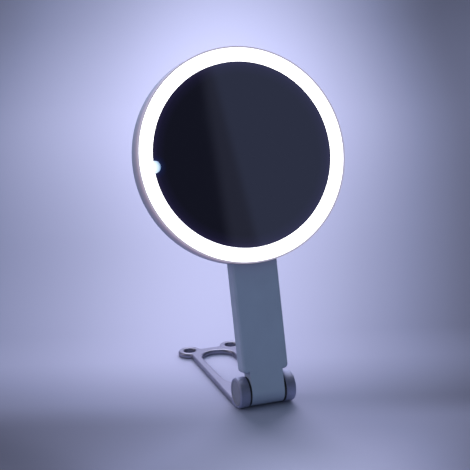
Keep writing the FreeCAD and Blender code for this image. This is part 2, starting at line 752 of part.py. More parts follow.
usb_depth = board_back + size.usb_height / 2
usb_mouth = size.head_radius - size.usb_setback
usb_start = usb_mouth - size.usb_length
usb_centre = (size.usb_width - size.usb_height) / 2
usb_bore = size.usb_height / 2 - size.usb_wall
body = new_body("usb_socket")
pad(body, "usb_shell", "side", usb_start, usb_mouth,
    slot(usb_depth, size.usb_height / 2, -usb_centre, usb_centre))
pocket(body, "usb_mouth", "side", usb_start + 2 * size.usb_wall, usb_mouth,
       slot(usb_depth, usb_bore, -usb_centre, usb_centre))
pad(body, "usb_tongue", "side", usb_start, usb_mouth - size.usb_setback, rectangle(
    usb_depth - size.usb_tongue / 2, usb_depth + size.usb_tongue / 2, -usb_centre, usb_centre))
keep(body, "usb_socket", "head")

button_place = board_centre - size.button_offset
switch_top = board_back + size.switch_height
plunger_floor = switch_top - size.plunger_room
body = new_body("tact_switch")
pad(body, "switch_case", "front", board_back, switch_top, rectangle(
    button_place - size.switch_side / 2, button_place + size.switch_side / 2,
    -size.switch_side / 2, size.switch_side / 2))
pocket(body, "switch_well", "front", plunger_floor, switch_top,
       circle(button_place, 0, size.plunger_radius + size.button_gap))
keep(body, "tact_switch", "head")

pipe_across = board_centre + size.pipe_offset
body = new_body("charge_light_pipe")
pad(body, "light_pipe", "front", board_back + size.pipe_lift, size.head_depth,
    circle(pipe_across, size.pipe_up, size.pipe_radius))
keep(body, "charge_light_pipe", "head")

# Power button: a capped plunger held behind the rear shell by its flange; its stem rests on the switch
flange_back = back_inside - size.button_slack
flange_front = flange_back - size.button_flange_thickness
plunger_top = flange_front - size.stem_length
body = new_body("power_button")
pad(body, "button_flange", "front", flange_front, flange_back,
    circle(button_place, 0, size.button_radius + size.button_flange))
pad(body, "button_cap", "front", flange_back, size.head_depth + size.button_proud,
    circle(button_place, 0, size.button_radius))
pad(body, "button_stem", "front", plunger_top, flange_front, circle(button_place, 0, size.stem_radius))
round_edges(body, "button_crown", size.button_proud / 2,
            lambda edge: near(edge.BoundBox.YMin, size.head_depth + size.button_proud))
keep(body, "power_button", "head")

body = new_body("switch_plunger")
pad(body, "plunger", "front", switch_top - size.plunger_room + size.plunger_reach, plunger_top,
    circle(button_place, 0, size.plunger_radius))
keep(body, "switch_plunger", "head")

# Battery: a flat cell on a foam pad, between the left screw pillar and the board
pillar_side = size.pillar_radius - pillar_circle * cosine(PILLAR_ANGLES[0])
battery_left = pillar_side + size.battery_pillar_gap
battery_right = board_left - size.battery_board_gap
battery_low = size.battery_up - size.battery_height / 2
battery_high = size.battery_up + size.battery_height / 2
battery_front = front_depth + size.battery_pad_thickness
battery_back = battery_front + size.battery_thickness
body = new_body("battery_pad")
pad(body, "battery_foam", "front", front_depth, battery_front, rectangle(
    battery_left + size.battery_thickness, battery_right - size.battery_thickness,
    battery_low + size.battery_thickness, battery_high - size.battery_thickness))
keep(body, "battery_pad", "head")

body = new_body("battery_cell")
pad(body, "cell", "front", battery_front, battery_back,
    rectangle(battery_left, battery_right, battery_low, battery_high))
round_edges(body, "cell_edges", size.battery_thickness / 4,
            lambda edge: not near(edge.BoundBox.YLength, 0) or near(edge.BoundBox.XLength, 0))
keep(body, "battery_cell", "head")

# Rear shell: a dished cover with a channel at six o'clock where the handle's top swings on the tilt pin
channel_half = handle_side + size.channel_gap
cheek_outer = channel_half + size.cheek_wall
channel_top = size.tilt_barrel_radius + size.channel_end_gap - size.tilt_drop
wall_middle = size.head_radius - size.shell_wall / 2
channel_low = -square_root(wall_middle * wall_middle - cheek_outer * cheek_outer)
shell_inside = size.head_radius - size.shell_wall
body = new_body("rear_shell")
turn(body, "shell_dish", "Y",
     (size.head_radius, front_depth), (size.head_radius, size.head_depth), (0, size.head_depth),
     (0, back_inside), (shell_inside, back_inside), (shell_inside, front_depth))
round_edges(body, "shell_back_edge", size.back_round,
            lambda edge: near(edge.BoundBox.YMin, size.head_depth)
            and near(edge.BoundBox.XMax, size.head_radius))
round_edges(body, "shell_inner_edge", size.shell_inner_round,
            lambda edge: near(edge.BoundBox.YMin, back_inside) and near(edge.BoundBox.XMax, shell_inside))
pad(body, "channel_walls", "front", front_depth, back_inside,
    rectangle(-cheek_outer, cheek_outer, channel_low, channel_top + size.cheek_wall))
for side, start, end in (("left", -(channel_half + size.cheek_boss_length), -channel_half),
                         ("right", channel_half, channel_half + size.cheek_boss_length)):
    pad(body, side + "_cheek_boss", "side", start, end,
        circle(tilt_depth, -size.tilt_drop, size.cheek_boss_radius))
pocket(body, "handle_channel", "front", front_depth, size.head_depth,
       rectangle(-channel_half, channel_half, -size.head_radius, channel_top))
pad(body, "shell_pillars", "front", size.pillar_seat, back_inside,
    *[circle(x, z, size.pillar_radius) for x, z in pillars])
shell_head_seat = size.head_depth - size.shell_head_height
pocket(body, "shell_screw_holes", "front", size.pillar_seat, size.head_depth,
       *[circle(x, z, size.shell_screw_radius + size.seat_gap) for x, z in pillars])
pocket(body, "shell_counterbores", "front", shell_head_seat, size.head_depth,
       *[circle(x, z, size.shell_head_radius + size.seat_gap) for x, z in pillars])
pin_end = channel_half + size.cheek_boss_length - size.pin_end_gap
pocket(body, "pin_bores", "side", -pin_end, pin_end, circle(tilt_depth, -size.tilt_drop, tilt_pin_bore))
pocket(body, "button_hole", "front", back_inside, size.head_depth,
       circle(button_place, 0, size.button_radius + size.button_gap))
pocket(body, "light_pipe_hole", "front", back_inside, size.head_depth,
       circle(pipe_across, size.pipe_up, size.pipe_radius + size.running_gap))
pocket(body, "usb_opening", "side", usb_start, size.head_radius,
       slot(usb_depth, size.usb_height / 2 + size.seat_gap, -usb_centre, usb_centre))
keep(body, "rear_shell", "head")

body = new_body("rear_shell_screws")
pad(body, "shell_screw_shanks", "front", size.pillar_seat - size.thread_depth, shell_head_seat,
    *[circle(x, z, size.shell_screw_radius) for x, z in pillars])
pad(body, "shell_screw_heads", "front", shell_head_seat, size.head_depth,
    *[circle(x, z, size.shell_head_radius) for x, z in pillars])
keep(body, "rear_shell_screws", "head")

# Tilt pin and washers between the channel's cheeks
tilt_rod = rod("tilt_pin_rod", size.tilt_pin_radius, -pin_end, pin_end, tilt_depth, -size.tilt_drop)
keep(together("tilt_pin", [tilt_rod]), "tilt_pin", "head")
washers = []
for side, sense in (("left", -1), ("right", 1)):
    ends = in_order(sense * (handle_side + size.running_gap), sense * channel_half)
    washers.append(sleeve(side + "_tilt_washer", size.tilt_washer_radius, tilt_pin_bore,
                          *ends, y=tilt_depth, z=-size.tilt_drop))
keep(together("tilt_washers", washers), "tilt_washers", "head")


# Leads: thin round wires between the boards, with a bend at each corner of the route
def lead(route):
    points = [FreeCAD.Vector(*[as_size(place).number for place in corner]) for corner in route]
    edges = []
    start = points[0]
    for before, corner, after in zip(points, points[1:], points[2:]):
        back = (before - corner).normalize()
        on = (after - corner).normalize()
        half_turn = (math.pi - back.getAngle(on)) / 2
        trim = size.lead_bend.number * math.tan(half_turn)
        centre_way = (back + on).normalize()
        inside = centre_way * (size.lead_bend.number * (1 / math.cos(half_turn) - 1))
        edges.append(Part.LineSegment(start, corner + back * trim).toShape())
        edges.append(Part.Arc(corner + back * trim, corner + inside, corner + on * trim).toShape())
        start = corner + on * trim
    edges.append(Part.LineSegment(start, points[-1]).toShape())
    path = Part.Wire(edges)
    section = Part.Wire(Part.Circle(points[0], points[1] - points[0], size.lead_radius.number).toShape())
    wire = path.makePipeShell([section], True, False)
    length = math.pi * size.lead_radius.number ** 2 * path.Length
    if abs(wire.Volume / length - 1) > 0.01:
        raise RuntimeError("a lead's volume is not its section times its length")
    return wire


def keep_leads(label, routes):
    thing = doc.addObject("Part::Feature", label + "_wires")
    thing.Shape = Part.makeCompound([lead(route) for route in routes])
    keep(thing, label, "head")


lead_depth = board_back + size.lead_radius + size.running_gap
keep_leads("battery_leads", [
    [(battery_right, lead_depth, battery_low + size.lead_bend * (step + 2)),
     ((battery_right + board_left) / 2, lead_depth, battery_low + size.lead_bend * (step + 2)),
     (board_left + size.board_screw_inset, lead_depth, battery_low + size.lead_bend * step)]
    for step in range(2)])
lead_across, lead_up = lead_hole
keep_leads("led_leads", [
    [(lead_across, floor_front, lead_up), (lead_across, lead_depth, lead_up),
     (lead_across - size.board_screw_inset, lead_depth, size.board_screw_inset - board_half_height)]])
keep_leads("touch_leads", [
    [(touch_across + size.touch_board_radius / 2, lead_depth, 0),
     (touch_across + 2 * size.board_screw_inset, lead_depth, 0),
     (touch_across + 4 * size.board_screw_inset, lead_depth, -size.board_screw_inset),
     (board_left - size.board_screw_inset, lead_depth, -size.board_screw_inset),
     (board_left + size.board_screw_inset, lead_depth, 0)]])

doc.recompute()
for thing in doc.Objects:
    if "Invalid" in thing.State or "Error" in thing.State:
        raise RuntimeError(f"{thing.Label} failed: {thing.State}")
for thing in sub_parts:
    if thing.Shape.isNull() or not thing.Shape.isValid():
        raise RuntimeError(f"{thing.Label} has no valid shape")

os.makedirs("parts", exist_ok=True)
for thing in sub_parts:
    thing.Shape.exportStep(f"parts/{thing.Label}.step")
    box = thing.Shape.BoundBox
    print(f"{thing.Label}: {len(thing.Shape.Solids)} solids, {thing.Shape.Volume:.1f} mm3, "
          f"x {box.XMin:.2f} {box.XMax:.2f}, y {box.YMin:.2f} {box.YMax:.2f}, "
          f"z {box.ZMin:.2f} {box.ZMax:.2f}")
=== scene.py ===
# Lighted travel makeup mirror: a round mirror in a lit ring, on a flat handle that folds on to a metal stand.
import json
import math
import bmesh
import bpy
from mathutils import Matrix, Quaternion, Vector


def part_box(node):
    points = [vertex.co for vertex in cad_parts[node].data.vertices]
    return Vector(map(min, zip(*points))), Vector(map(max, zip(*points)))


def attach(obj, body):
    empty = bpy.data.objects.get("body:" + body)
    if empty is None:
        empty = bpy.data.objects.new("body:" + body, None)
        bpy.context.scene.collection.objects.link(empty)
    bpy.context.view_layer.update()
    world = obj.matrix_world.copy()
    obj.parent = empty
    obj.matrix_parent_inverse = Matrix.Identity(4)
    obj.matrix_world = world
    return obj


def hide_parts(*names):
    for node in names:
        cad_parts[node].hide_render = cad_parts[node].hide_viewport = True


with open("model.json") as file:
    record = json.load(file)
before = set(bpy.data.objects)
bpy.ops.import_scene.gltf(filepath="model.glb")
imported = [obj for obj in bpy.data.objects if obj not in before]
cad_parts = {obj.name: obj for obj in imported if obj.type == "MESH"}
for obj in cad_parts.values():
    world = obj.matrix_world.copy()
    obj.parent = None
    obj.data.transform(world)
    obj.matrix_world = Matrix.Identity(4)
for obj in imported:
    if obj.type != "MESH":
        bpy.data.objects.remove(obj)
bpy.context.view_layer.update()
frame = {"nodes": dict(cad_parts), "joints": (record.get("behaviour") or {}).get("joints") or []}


# Stand plate: a flat casting with a long slot and an eye at each far corner, which lies on the table.
# It is tumbled so that its edges go soft, and then satin plated.
PLATE_EDGE = 0.0004
EDGE_STEPS = 3
SHARP_ANGLE = math.radians(28.0)
FLAT_ANGLE = math.radians(1.0)
WELD_GAP = 1e-6


def new_piece(name, points, faces):
    """A new object, smooth to the light except at its sharp edges."""
    mesh = bpy.data.meshes.new(name)
    mesh.from_pydata(points, [], faces)
    mesh.shade_smooth()
    mesh.set_sharp_from_angle(angle=SHARP_ANGLE)
    piece = bpy.data.objects.new(name, mesh)
    bpy.context.scene.collection.objects.link(piece)
    return piece


def cleaned(mesh):
    """A mesh's corners and faces, with its split corners welded and its flat faces whole."""
    form = bmesh.new()
    form.from_mesh(mesh)
    bmesh.ops.remove_doubles(form, verts=form.verts, dist=WELD_GAP)
    bmesh.ops.dissolve_limit(form, angle_limit=FLAT_ANGLE, verts=form.verts, edges=form.edges)
    form.verts.index_update()
    points = [corner.co.copy() for corner in form.verts]
    faces = [[corner.index for corner in face.verts] for face in form.faces]
    form.free()
    return points, faces


def copy_of(node, name):
    """A clean copy of a CAD piece, to be refined in its place."""
    return new_piece(name, *cleaned(frame["nodes"][node].data))


def soften(piece, width):
    """Round a piece's sharp edges, and keep its flat faces flat to the light."""
    edge = piece.modifiers.new("soft_edges", "BEVEL")
    edge.limit_method = "ANGLE"
    edge.angle_limit = SHARP_ANGLE
    edge.width = width
    edge.segments = EDGE_STEPS
    edge.use_clamp_overlap = True
    piece.modifiers.new("even_faces", "WEIGHTED_NORMAL").keep_sharp = True
    return piece


def shader_of(finish):
    return finish.node_tree.nodes["Principled BSDF"]


def new_finish(name, colour, roughness, metallic=0.0):
    """A material, with what is the same all over it set on its shader."""
    finish = bpy.data.materials.new(name)
    finish.use_nodes = True
    shader = shader_of(finish)
    shader.inputs["Base Color"].default_value = (*colour, 1.0)
    shader.inputs["Roughness"].default_value = roughness
    shader.inputs["Metallic"].default_value = metallic
    return finish


def feed(finish, socket, source):
    """Let a node's output set one of the shader's sockets."""
    finish.node_tree.links.new(source, shader_of(finish).inputs[socket])


def grain(finish, scale, stretch=(1.0, 1.0, 1.0), detail=2.0):
    """Fine noise over a piece, in its own coordinates."""
    nodes, links = finish.node_tree.nodes, finish.node_tree.links
    place = nodes.new("ShaderNodeTexCoord")
    stretched = nodes.new("ShaderNodeMapping")
    stretched.inputs["Scale"].default_value = stretch
    noise = nodes.new("ShaderNodeTexNoise")
    noise.inputs["Scale"].default_value = scale
    noise.inputs["Detail"].default_value = detail
    links.new(place.outputs["Object"], stretched.inputs["Vector"])
    links.new(stretched.outputs["Vector"], noise.inputs["Vector"])
    return noise.outputs["Fac"]


NOISE_LOW, NOISE_HIGH = 0.3, 0.7


def gloss(finish, pattern, low, high):
    """Let the roughness wander with a pattern of noise."""
    span = finish.node_tree.nodes.new("ShaderNodeMapRange")
    span.inputs["From Min"].default_value = NOISE_LOW
    span.inputs["From Max"].default_value = NOISE_HIGH
    span.inputs["To Min"].default_value = low
    span.inputs["To Max"].default_value = high
    finish.node_tree.links.new(pattern, span.inputs["Value"])
    feed(finish, "Roughness", span.outputs["Result"])


def relief(finish, pattern, height):
    """Raise a pattern from the surface, by a height in metres."""
    bump = finish.node_tree.nodes.new("ShaderNodeBump")
    bump.inputs["Distance"].default_value = height
    finish.node_tree.links.new(pattern, bump.inputs["Height"])
    feed(finish, "Normal", bump.outputs["Normal"])


def graded(finish, measure, stops, interpolation="LINEAR"):
    """A colour, or a level, that follows a measure through (value, colour or level) stops."""
    nodes, links = finish.node_tree.nodes, finish.node_tree.links
    low, high = stops[0][0], stops[-1][0]
    span = nodes.new("ShaderNodeMapRange")
    span.inputs["From Min"].default_value = low
    span.inputs["From Max"].default_value = high
    ramp = nodes.new("ShaderNodeValToRGB")
    ramp.color_ramp.interpolation = interpolation
    middle = 0.5
    while len(ramp.color_ramp.elements) < len(stops):
        ramp.color_ramp.elements.new(middle)
    for element, (value, colour) in zip(ramp.color_ramp.elements, stops):
        element.position = (value - low) / (high - low)
        element.color = (*colour, 1.0) if isinstance(colour, tuple) else (colour, colour, colour, 1.0)
    links.new(measure, span.inputs["Value"])
    links.new(span.outputs["Result"], ramp.inputs["Fac"])
    return ramp.outputs["Color"]


def shades(finish, pattern, dark, light):
    """Let the colour wander between two close shades with a pattern of noise."""
    feed(finish, "Base Color", graded(finish, pattern, [(NOISE_LOW, dark), (NOISE_HIGH, light)]))


def dress(piece, finish, body, node):
    """Give a piece its finish, and let it ride on its body in the place of a CAD node."""
    piece.data.materials.append(finish)
    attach(piece, body)
    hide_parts(node)


satin_metal = new_finish("satin_metal", colour=(0.255, 0.25, 0.33), roughness=0.36, metallic=0.8)
tumbled = grain(satin_metal, scale=240.0)
gloss(satin_metal, tumbled, low=0.32, high=0.40)
relief(satin_metal, tumbled, height=8e-6)
plating = grain(satin_metal, scale=160.0)
shades(satin_metal, plating, dark=(0.245, 0.24, 0.317), light=(0.265, 0.26, 0.343))
plate = soften(copy_of("stand_frame", "stand_plate"), PLATE_EDGE)
dress(plate, satin_metal, "stand", "stand_frame")

# Knuckles: two short metal sleeves, turned and then brazed to the front of the plate.
# Each is brushed round its barrel, and holds one end of the hinge pin.
KNUCKLE_EDGE = 0.0004
barrel_metal = new_finish("barrel_metal", colour=(0.39, 0.41, 0.56), roughness=0.66, metallic=0.9)
brushed = grain(barrel_metal, scale=1100.0, stretch=(6.0, 1.0, 1.0), detail=3.0)
gloss(barrel_metal, brushed, low=0.60, high=0.72)
relief(barrel_metal, brushed, height=8e-6)
for side in ("left", "right"):
    barrel = soften(copy_of(side + "_knuckle", side + "_barrel"), KNUCKLE_EDGE)
    dress(barrel, barrel_metal, "stand", side + "_knuckle")

# Feet: thin pads of dark silicone, stuck in recesses under the plate and the eyes.
# Their fine moulded texture keeps them from sliding.
foot_silicone = new_finish("foot_silicone", colour=(0.045, 0.046, 0.050), roughness=0.75)
pebbled = grain(foot_silicone, scale=2500.0)
relief(foot_silicone, pebbled, height=2e-5)
gloss(foot_silicone, pebbled, low=0.68, high=0.85)


def coat(finish, *nodes):
    """Give CAD pieces that keep their shape a finish."""
    for node in nodes:
        mesh = frame["nodes"][node].data
        mesh.materials.clear()
        mesh.materials.append(finish)


coat(foot_silicone, "front_foot_pad", "rear_foot_pads")

# End caps: spun metal discs pressed into the knuckles, with a low rim and the fine rings of the lathe.
# They hide the ends of the hinge pin.
joints = {joint["name"]: joint for joint in frame["joints"]}
hinge = Vector(joints["handle_fold"]["pos_m"])
cap_low, cap_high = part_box("right_end_cap")
cap_seat, cap_face, cap_radius = cap_low.x, cap_high.x, cap_high.z - hinge.z
CAP_CHAMFER, CAP_ROUND = 0.0002, 0.0003
CAP_RIM, DISH_RUN, DISH_SINK = 0.0007, 0.0005, 0.00035
CAP_STEPS = 96
RING_SCALE, RING_WAVER = 1250.0, 1.5


def turned(name, outline, place, steps):
    """Turn an outline of (radius, height) points, from axis to axis, about a place's own Z axis."""
    rows = outline[1:-1]
    ends = [place @ Vector((0.0, 0.0, height)) for radius, height in (outline[0], outline[-1])]
    points = list(ends)
    for radius, height in rows:
        for step in range(steps):
            angle = 2.0 * math.pi * step / steps
            points.append(place @ Vector((radius * math.cos(angle), radius * math.sin(angle), height)))
    starts = [len(ends) + row * steps for row in range(len(rows))]
    faces = []
    for step in range(steps):
        following = (step + 1) % steps
        faces.append((0, starts[0] + following, starts[0] + step))
        faces.append((1, starts[-1] + step, starts[-1] + following))
        for start, after in zip(starts, starts[1:]):
            faces.append((start + step, start + following, after + following, after + step))
    return new_piece(name, points, faces)


def lathe_rings(finish):
    """Fine rings round the hinge's axis."""
    nodes, links = finish.node_tree.nodes, finish.node_tree.links
    place = nodes.new("ShaderNodeTexCoord")
    centred = nodes.new("ShaderNodeMapping")
    centred.inputs["Location"].default_value = -hinge
    rings = nodes.new("ShaderNodeTexWave")
    rings.wave_type = "RINGS"
    rings.rings_direction = "X"
    rings.inputs["Scale"].default_value = RING_SCALE
    rings.inputs["Distortion"].default_value = RING_WAVER
    links.new(place.outputs["Object"], centred.inputs["Vector"])
    links.new(centred.outputs["Vector"], rings.inputs["Vector"])
    return rings.outputs["Fac"]


lathe_metal = new_finish("lathe_metal", colour=(0.29, 0.30, 0.34), roughness=0.48, metallic=0.9)
gloss(lathe_metal, grain(lathe_metal, scale=700.0), low=0.42, high=0.54)
relief(lathe_metal, lathe_rings(lathe_metal), height=6e-6)
rim_inside = cap_radius - CAP_RIM
cap_outline = [
    (0.0, cap_seat), (cap_radius - CAP_CHAMFER, cap_seat), (cap_radius, cap_seat + CAP_CHAMFER),
    (cap_radius, cap_face - CAP_ROUND), (cap_radius - CAP_ROUND / 3.0, cap_face - CAP_ROUND / 3.0),
    (cap_radius - CAP_ROUND, cap_face), (rim_inside, cap_face),
    (rim_inside - CAP_ROUND, cap_face - DISH_SINK / 3.0), (rim_inside - DISH_RUN, cap_face - DISH_SINK),
    (0.0, cap_face - DISH_SINK)]
for side, quarter_turn in (("left", -90.0), ("right", 90.0)):
    outward = Matrix.Translation(hinge) @ Matrix.Rotation(math.radians(quarter_turn), 4, "Y")
    cap = turned("spun_cap_" + side, cap_outline, outward, CAP_STEPS)
    dress(cap, lathe_metal, "stand", side + "_end_cap")

# Hinge core: a headed steel pin with disc springs and a nut, shut in behind the caps.
# The springs press the washers together, so that the handle stays at any angle.
# The head's tilt pin is a plain rod of the same steel.
pin_steel = new_finish("pin_steel", colour=(0.50, 0.50, 0.52), roughness=0.30, metallic=1.0)
drawn = grain(pin_steel, scale=1500.0)
gloss(pin_steel, drawn, low=0.24, high=0.36)
relief(pin_steel, drawn, height=4e-6)
coat(pin_steel, "hinge_shaft", "disc_springs", "shaft_nut", "tilt_pin")

# Handle: a moulded tub with a flat cover let into its back, in pale matt plastic with a fine spark texture.
# The tongue at its foot carries the barrel of the stand hinge.
TUB_EDGE, COVER_EDGE = 0.0004, 0.00025
PALE_DARK, PALE_LIGHT = (0.293, 0.333, 0.465), (0.308, 0.350, 0.487)


def pale_plastic(name):
    """The casing's matt plastic, with its spark texture and the slight clouds of the moulding."""
    finish = new_finish(name, colour=PALE_LIGHT, roughness=0.48)
    shader_of(finish).inputs["Specular IOR Level"].default_value = 0.35
    spark = grain(finish, scale=3200.0, detail=3.0)
    gloss(finish, spark, low=0.43, high=0.56)
    relief(finish, spark, height=1.5e-5)
    shades(finish, grain(finish, scale=60.0), dark=PALE_DARK, light=PALE_LIGHT)
    return finish


matt_plastic = pale_plastic("matt_plastic")
tub = soften(copy_of("handle_body", "handle_tub"), TUB_EDGE)
dress(tub, matt_plastic, "handle", "handle_body")
cover = soften(copy_of("handle_back_cover", "handle_cover"), COVER_EDGE)
dress(cover, matt_plastic, "handle", "handle_back_cover")

# Cover screws: four small steel screws with pan heads, each with a pressed cross recess.
# They are sunk flush in the handle's back cover, and hold it to posts in the tub.
# The handle's back is a little way behind the hinge's axis.
HANDLE_LEAN = math.radians(13.7)
HANDLE_BACK = 0.0030
SCREW_SIDE, SCREW_HEIGHTS = 0.0085, (0.024, 0.083)
RECESS_REACH, RECESS_WIDTH, RECESS_DEPTH, RECESS_TAPER = 0.00125, 0.0005, 0.0008, 0.45
CUTTER_LIFT = 0.0002
SCREW_EDGE = 0.00012


def leant(place, lean):
    """A frame on the front of a leaning piece: X across it, Y down it and Z to its back."""
    return Matrix.Translation(place) @ Matrix.Rotation(-math.pi / 2.0 - lean, 4, "X")


def cross_bits(name, places):
    """Tapered four-winged bits that cut a screw's recess, one pointing down each place's own Z axis."""
    near, far = RECESS_WIDTH / 2.0, RECESS_REACH
    wing = [(near, near), (far, near), (far, -near)]
    plus = []
    for quarter in range(4):
        plus += wing
        wing = [(y, -x) for x, y in wing]
    points, faces = [], []
    for place in places:
        top = len(points)
        low = top + len(plus)
        points += [place @ Vector((x, y, CUTTER_LIFT)) for x, y in plus]
        points += [place @ Vector((x * RECESS_TAPER, y * RECESS_TAPER, -RECESS_DEPTH)) for x, y in plus]
        faces.append([low - 1 - corner for corner in range(len(plus))])
        faces.append([low + corner for corner in range(len(plus))])
        for corner in range(len(plus)):
            following = (corner + 1) % len(plus)
            faces.append((top + corner, top + following, low + following, low + corner))
    return new_piece(name, points, faces)


def carved(piece, cutter):
    """Cut a cutter's shape from a piece, and use the cutter up."""
    cut = piece.modifiers.new("cut", "BOOLEAN")
    cut.operation = "DIFFERENCE"
    cut.object = cutter
    cut.solver = "EXACT"
    ready = piece.evaluated_get(bpy.context.evaluated_depsgraph_get())
    points, faces = cleaned(bpy.data.meshes.new_from_object(ready))
    name = piece.name
    for used in (piece, cutter):
        bpy.data.objects.remove(used)
    return new_piece(name, points, faces)


handle_turn = leant(hinge, HANDLE_LEAN)
cover_places = [handle_turn @ Matrix.Translation((across, -along, HANDLE_BACK))
                for across in (-SCREW_SIDE, SCREW_SIDE) for along in SCREW_HEIGHTS]
cover_bits = cross_bits("cover_bits", cover_places)
cover_screws = carved(copy_of("handle_cover_screws", "cover_screws"), cover_bits)
dress(soften(cover_screws, SCREW_EDGE), pin_steel, "handle", "handle_cover_screws")

# Friction washers and bushes: black acetal rings at the seams beside the knuckles and round the tilt pin.
# The bushes inside are cream acetal, pressed into the handle.
black_acetal = new_finish("black_acetal", colour=(0.012, 0.012, 0.014), roughness=0.5)
turned_grain = grain(black_acetal, scale=1800.0)
relief(black_acetal, turned_grain, height=1e-5)
gloss(black_acetal, turned_grain, low=0.44, high=0.58)
coat(black_acetal, "left_friction_washer", "right_friction_washer", "tilt_washers")
cream_acetal = new_finish("cream_acetal", colour=(0.60, 0.59, 0.54), roughness=0.4)
relief(cream_acetal, grain(cream_acetal, scale=1800.0), height=1e-5)
coat(cream_acetal, "lower_bush_left", "lower_bush_right", "tilt_bush_left", "tilt_bush_right")

# Head frame: a shallow moulded tray whose thin wall shows as a rim round the lit ring.
# A faint glow is painted on the wall for the ring's light that comes through it, warmest at the front edge
# and fading towards the back.
# The tilt pin carries it, behind the front and below its middle.
HEAD_LEAN = math.radians(19.1)
PIN_DEPTH, PIN_DROP = 0.0115, 0.0473
FRAME_EDGE = 0.0003
# Glow painted on the rim for the ring's light, as (depth behind the front face, colour) stops.
RIM_PAINTED_GLOW = [
    (0.0002, (0.31, 0.25, 0.27)), (0.0010, (0.24, 0.16, 0.16)), (0.0030, (0.16, 0.095, 0.09)),
    (0.0060, (0.08, 0.042, 0.038)), (0.0100, (0.035, 0.016, 0.014)), (0.0150, (0.0, 0.0, 0.0))]
head_up = Vector((0.0, math.sin(HEAD_LEAN), math.cos(HEAD_LEAN)))
head_back = Vector((0.0, math.cos(HEAD_LEAN), -math.sin(HEAD_LEAN)))
head_front = Vector(joints["head_tilt"]["pos_m"]) - PIN_DEPTH * head_back + PIN_DROP * head_up
head_turn = leant(head_front, HEAD_LEAN)


def measured(finish, operation, other):
    """A piece's distance from a point, or its reach along a direction, in its own coordinates."""
    nodes, links = finish.node_tree.nodes, finish.node_tree.links
    place = nodes.new("ShaderNodeTexCoord")
    measure = nodes.new("ShaderNodeVectorMath")
    measure.operation = operation
    measure.inputs[1].default_value = other
    links.new(place.outputs["Object"], measure.inputs[0])
    return measure.outputs["Value"]


plastic_with_painted_glow = pale_plastic("plastic_with_painted_glow")
shader_of(plastic_with_painted_glow).inputs["Emission Strength"].default_value = 1.0
face_reach = head_front.dot(head_back)
rim_painted_glow_stops = [(face_reach + depth, colour) for depth, colour in RIM_PAINTED_GLOW]
# The rim's painted glow follows the depth behind the front face.
rim_reach = measured(plastic_with_painted_glow, "DOT_PRODUCT", head_back)
feed(plastic_with_painted_glow, "Emission Color", graded(plastic_with_painted_glow, rim_reach, rim_painted_glow_stops))
head_frame = soften(copy_of("front_frame", "head_frame"), FRAME_EDGE)
dress(head_frame, plastic_with_painted_glow, "head", "front_frame")

# Lit ring: a diffuser moulded in opal plastic, which lies in the tray flush with the glass.
# It spreads the light of a ring of small lamps, soldered to a white board in the bottom of the tray.
RING_EDGE = 0.00025
lit_opal = new_finish("lit_opal", colour=(0.90, 0.90, 0.89), roughness=0.35)
shader_of(lit_opal).inputs["Emission Color"].default_value = (1.0, 0.985, 0.955, 1.0)
shader_of(lit_opal).inputs["Emission Strength"].default_value = 1.8
relief(lit_opal, grain(lit_opal, scale=1500.0), height=1e-5)
lit_ring = soften(copy_of("light_diffuser", "lit_ring"), RING_EDGE)
dress(lit_ring, lit_opal, "head", "light_diffuser")
white_board = new_finish("white_board", colour=(0.78, 0.78, 0.76), roughness=0.45)
relief(white_board, grain(white_board, scale=1200.0), height=1e-5)
coat(white_board, "led_board")
lamp_chip = new_finish("lamp_chip", colour=(0.80, 0.66, 0.22), roughness=0.35)
relief(lamp_chip, grain(lamp_chip, scale=2500.0), height=1e-5)
coat(lamp_chip, "led_chips")

# Mirror: silvered glass with a ground edge and a round bite for the touch key, on a sheet of foam tape.
# A faint violet glow is painted on the glass near its edge for the ring's light, and a blue one round the
# key.
GLASS_EDGE = 0.0003
KEY_ACROSS, KEY_UP, KEY_RADIUS = -0.0645, -0.0018, 0.0040
# Painted glow on the glass: violet near its edge for the ring's light, and blue round the key.
MIRROR_EDGE_PAINTED_GLOW = [(-0.009, (0.0, 0.0, 0.0)), (-0.004, (0.003, 0.0022, 0.011)), (0.0, (0.012, 0.009, 0.036))]
MIRROR_KEY_PAINTED_GLOW = [(1.0, (0.0, 0.008, 0.040)), (1.5, (0.0, 0.002, 0.014)), (2.2, (0.0, 0.0, 0.0))]
glass_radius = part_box("mirror_glass")[1].x
key_centre = head_turn @ Vector((KEY_ACROSS, -KEY_UP, 0.0))
silvered = new_finish("silvered_glass", colour=(0.90, 0.90, 0.92), roughness=0.02, metallic=1.0)
gloss(silvered, grain(silvered, scale=40.0), low=0.015, high=0.03)
shader_of(silvered).inputs["Emission Strength"].default_value = 1.0
edge_painted_glow_stops = [(glass_radius + outward_step, colour) for outward_step, colour in MIRROR_EDGE_PAINTED_GLOW]
painted_edge_glow = graded(silvered, measured(silvered, "DISTANCE", head_front), edge_painted_glow_stops)
key_painted_glow_stops = [(KEY_RADIUS * share, colour) for share, colour in MIRROR_KEY_PAINTED_GLOW]
painted_key_glow = graded(silvered, measured(silvered, "DISTANCE", key_centre), key_painted_glow_stops)
# Both painted glows are added together as the glass's emission.
both_painted_glows = silvered.node_tree.nodes.new("ShaderNodeVectorMath")
both_painted_glows.operation = "ADD"
silvered.node_tree.links.new(painted_edge_glow, both_painted_glows.inputs[0])
silvered.node_tree.links.new(painted_key_glow, both_painted_glows.inputs[1])
feed(silvered, "Emission Color", both_painted_glows.outputs["Vector"])
mirror = soften(copy_of("mirror_glass", "mirror"), GLASS_EDGE)
dress(mirror, silvered, "head", "mirror_glass")
tape_foam = new_finish("tape_foam", colour=(0.55, 0.55, 0.56), roughness=0.9)
relief(tape_foam, grain(tape_foam, scale=2200.0), height=1e-4)
coat(tape_foam, "mirror_adhesive", "battery_pad")
